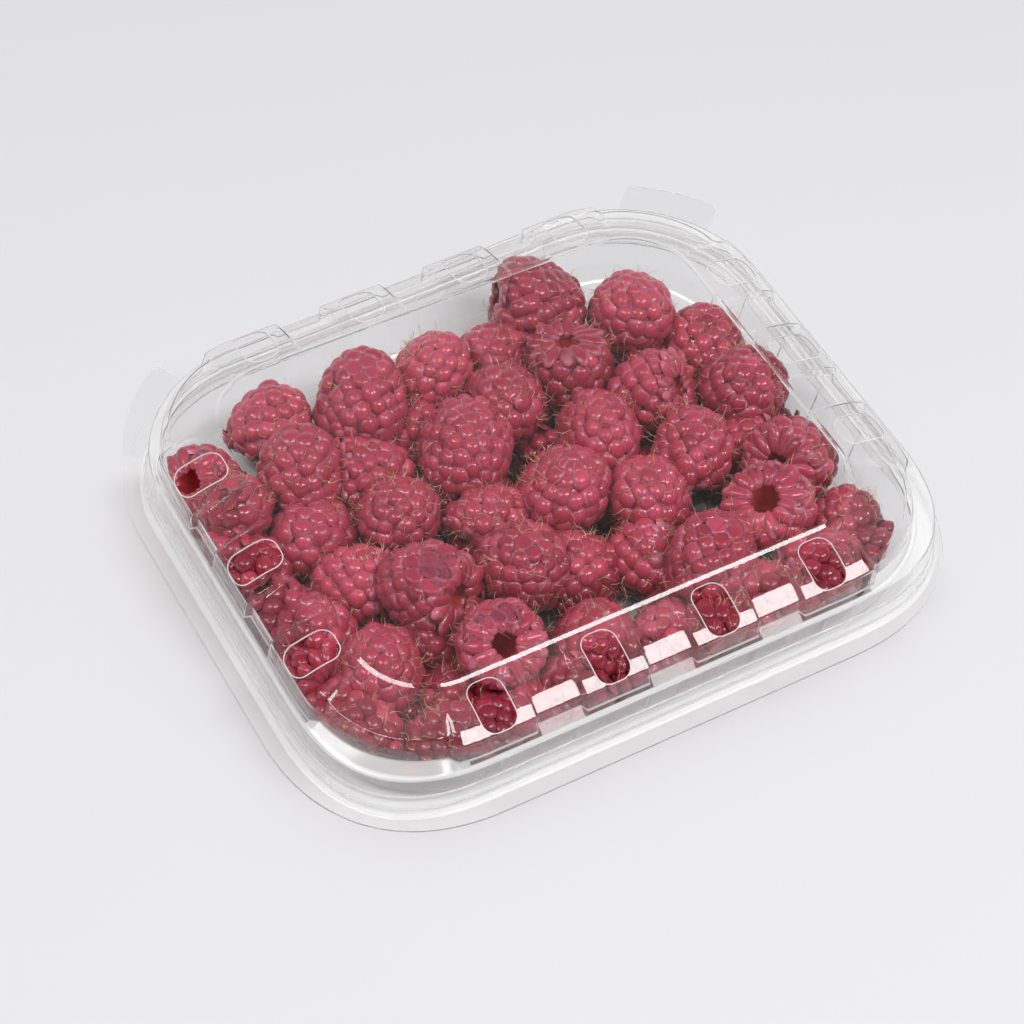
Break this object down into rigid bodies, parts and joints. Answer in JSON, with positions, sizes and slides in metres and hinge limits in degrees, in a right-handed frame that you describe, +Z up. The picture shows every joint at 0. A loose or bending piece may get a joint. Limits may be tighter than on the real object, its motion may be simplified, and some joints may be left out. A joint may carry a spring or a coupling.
{
  "type": "punnet of raspberries",
  "caption": "Shallow clear plastic tray with a push-on clear lid that has vent slots round its shoulder, filled with loose raspberries.",
  "frame": {"origin": "middle of the tray's base, on the surface that the punnet stands on", "axes": "+Z up out of the lid's top panel, +X along the long side of the punnet, -Y the front long side"},
  "size_m": [0.1511, 0.1304, 0.0245],
  "materials": {
    "clear_plastic": "clear polished PET sheet",
    "raspberry": "moist fruit skin with a soft bloom"
  },
  "bodies": {
    "root": {"tray": "clear_plastic", "lid": "clear_plastic", "raspberries": "raspberry"}
  },
  "joints": []
}
